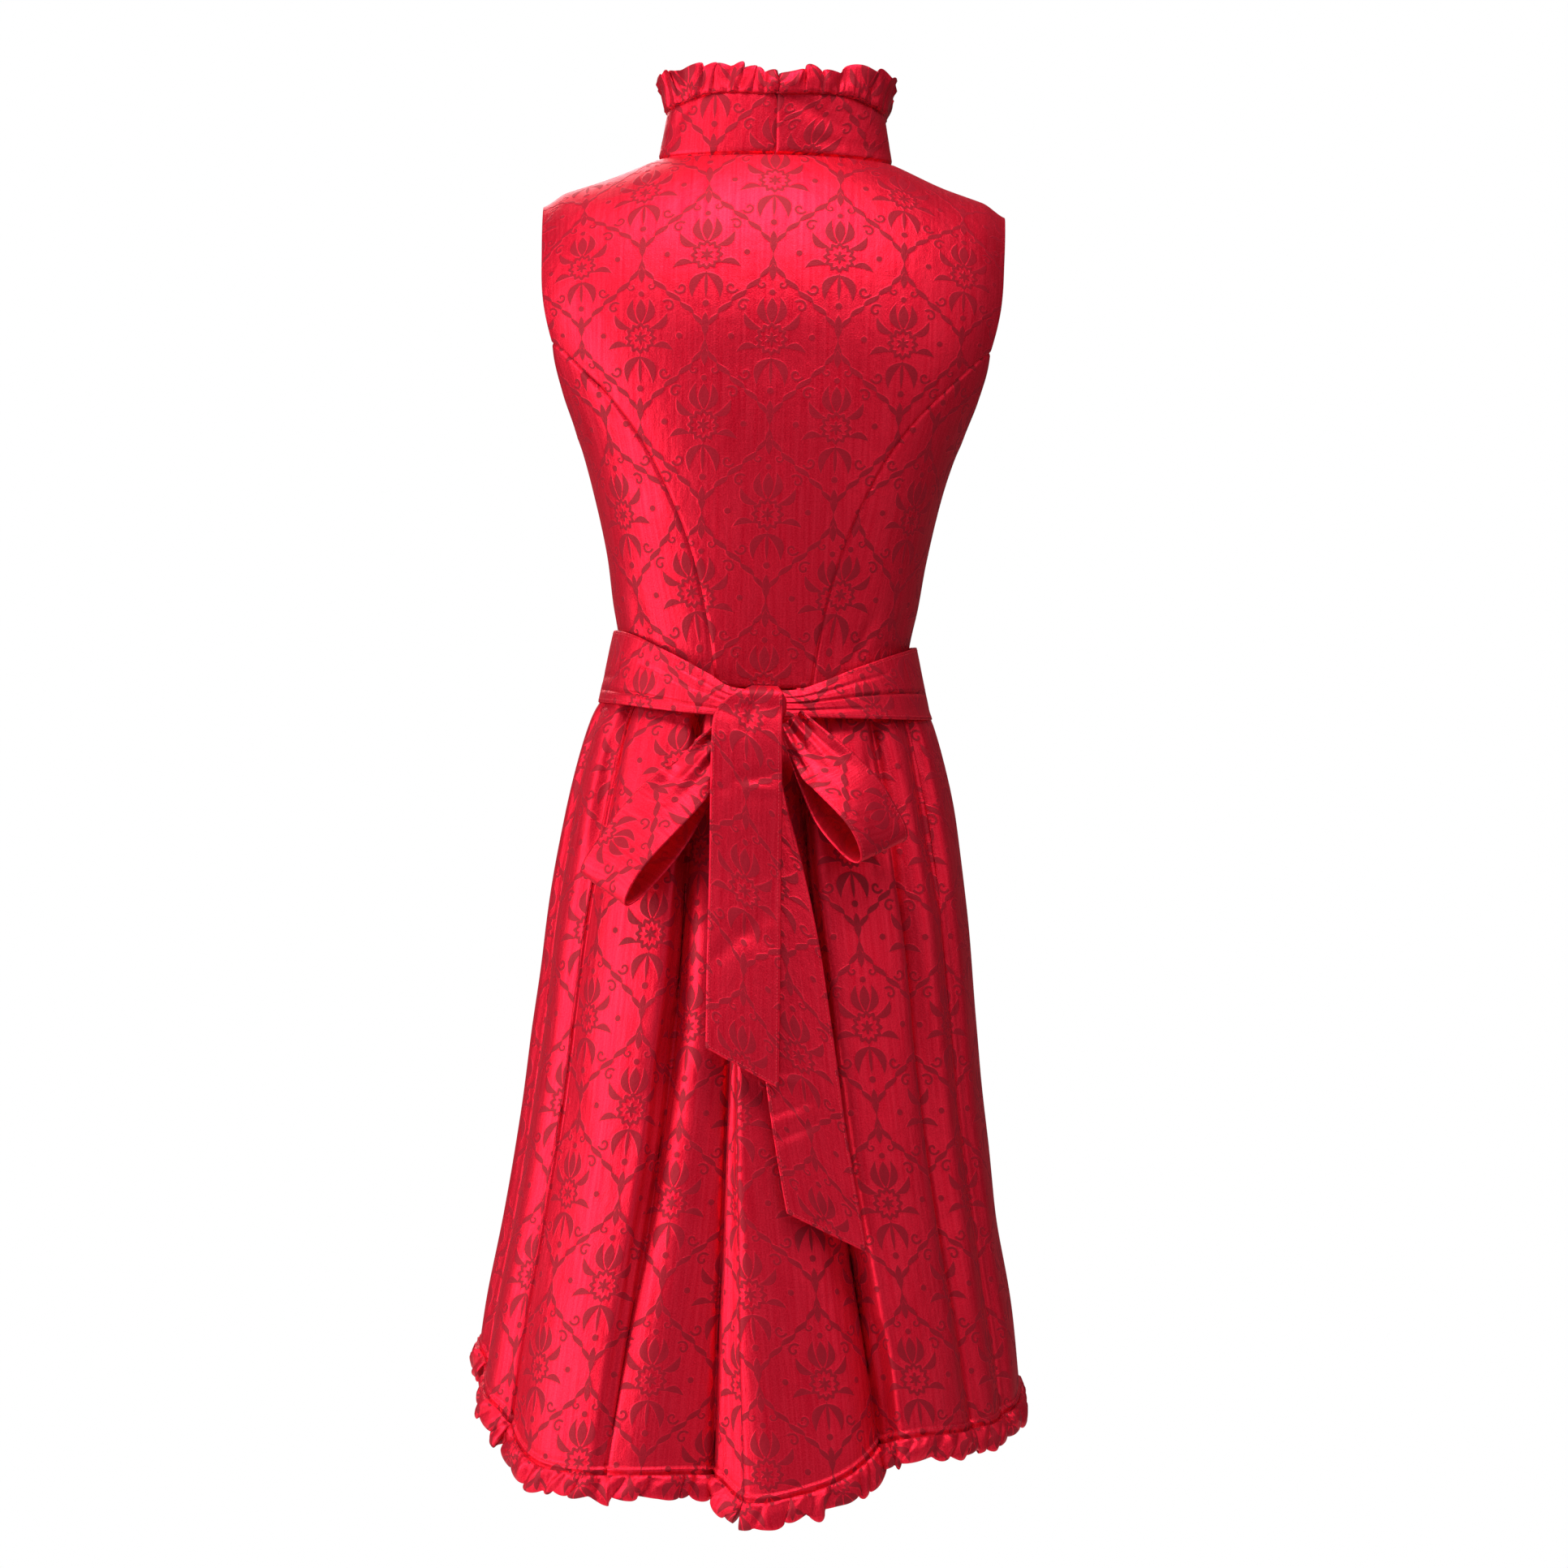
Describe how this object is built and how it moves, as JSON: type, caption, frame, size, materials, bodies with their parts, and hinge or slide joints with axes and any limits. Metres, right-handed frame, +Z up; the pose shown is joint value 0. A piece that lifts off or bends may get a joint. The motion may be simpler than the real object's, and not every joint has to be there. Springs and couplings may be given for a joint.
{
  "type": "dirndl",
  "caption": "Sleeveless knee-length dirndl with a princess-seamed bodice, ruffled stand collar, pleated skirt with a ruffled hem, and a wide sash tied in a bow at the back.",
  "frame": {"origin": "base of the wearer's neck, level with the shoulder line, midway between front and back", "axes": "+Z up along the wearer's spine, +Y out of the wearer's back, +X towards the wearer's left"},
  "size_m": [0.4251, 0.348, 1.0846],
  "materials": {
    "damask": "satin damask, woven tone on tone",
    "ruffle": "gathered satin, soft sheen",
    "sash": "satin sash, topstitched edges"
  },
  "bodies": {
    "root": {"back_centre": "damask", "side_back_left": "damask", "side_back_right": "damask", "side_front_left": "damask", "side_front_right": "damask", "front_left": "damask", "front_right": "damask", "collar_left": "damask", "collar_right": "damask", "skirt_back_left": "damask", "skirt_back_right": "damask", "skirt_front_left": "damask", "skirt_front_right": "damask", "collar_ruffle_left": "ruffle", "collar_ruffle_right": "ruffle", "hem_ruffle_back_left": "ruffle", "hem_ruffle_back_right": "ruffle", "hem_ruffle_front_left": "ruffle", "hem_ruffle_front_right": "ruffle", "sash_left": "sash", "sash_right": "sash", "sash_front": "sash", "sash_knot": "sash", "bow_loop_left": "sash", "bow_loop_right": "sash", "tail_front": "sash", "tail_rear": "sash"}
  },
  "joints": []
}
